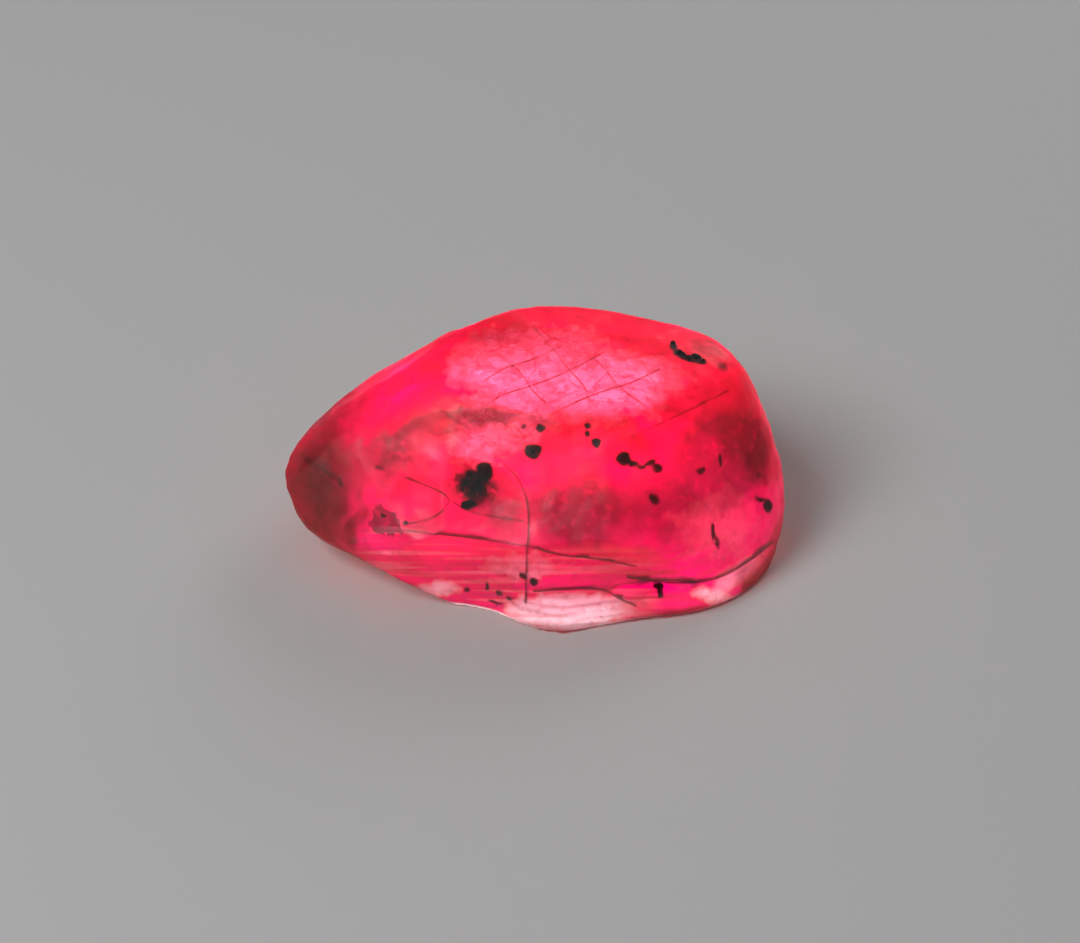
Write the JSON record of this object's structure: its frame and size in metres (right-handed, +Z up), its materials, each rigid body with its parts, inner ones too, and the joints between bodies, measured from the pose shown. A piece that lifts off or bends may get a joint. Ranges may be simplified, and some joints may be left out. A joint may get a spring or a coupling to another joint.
{
  "type": "raw ruby crystal",
  "caption": "Worn and broken raw ruby crystal with a domed top, a stepped front ledge and a flat broken base to rest on.",
  "frame": {"origin": "middle of the stone's outline box, on the flat face that it rests on", "axes": "+X along the length, towards the blunt end; +Y from the stepped front to the back; +Z up from the resting face"},
  "size_m": [0.024, 0.0166, 0.0098],
  "materials": {
    "ruby": "see-through red corundum with a frosted, worn surface"
  },
  "bodies": {
    "root": {"ruby_crystal": "ruby"}
  },
  "joints": []
}
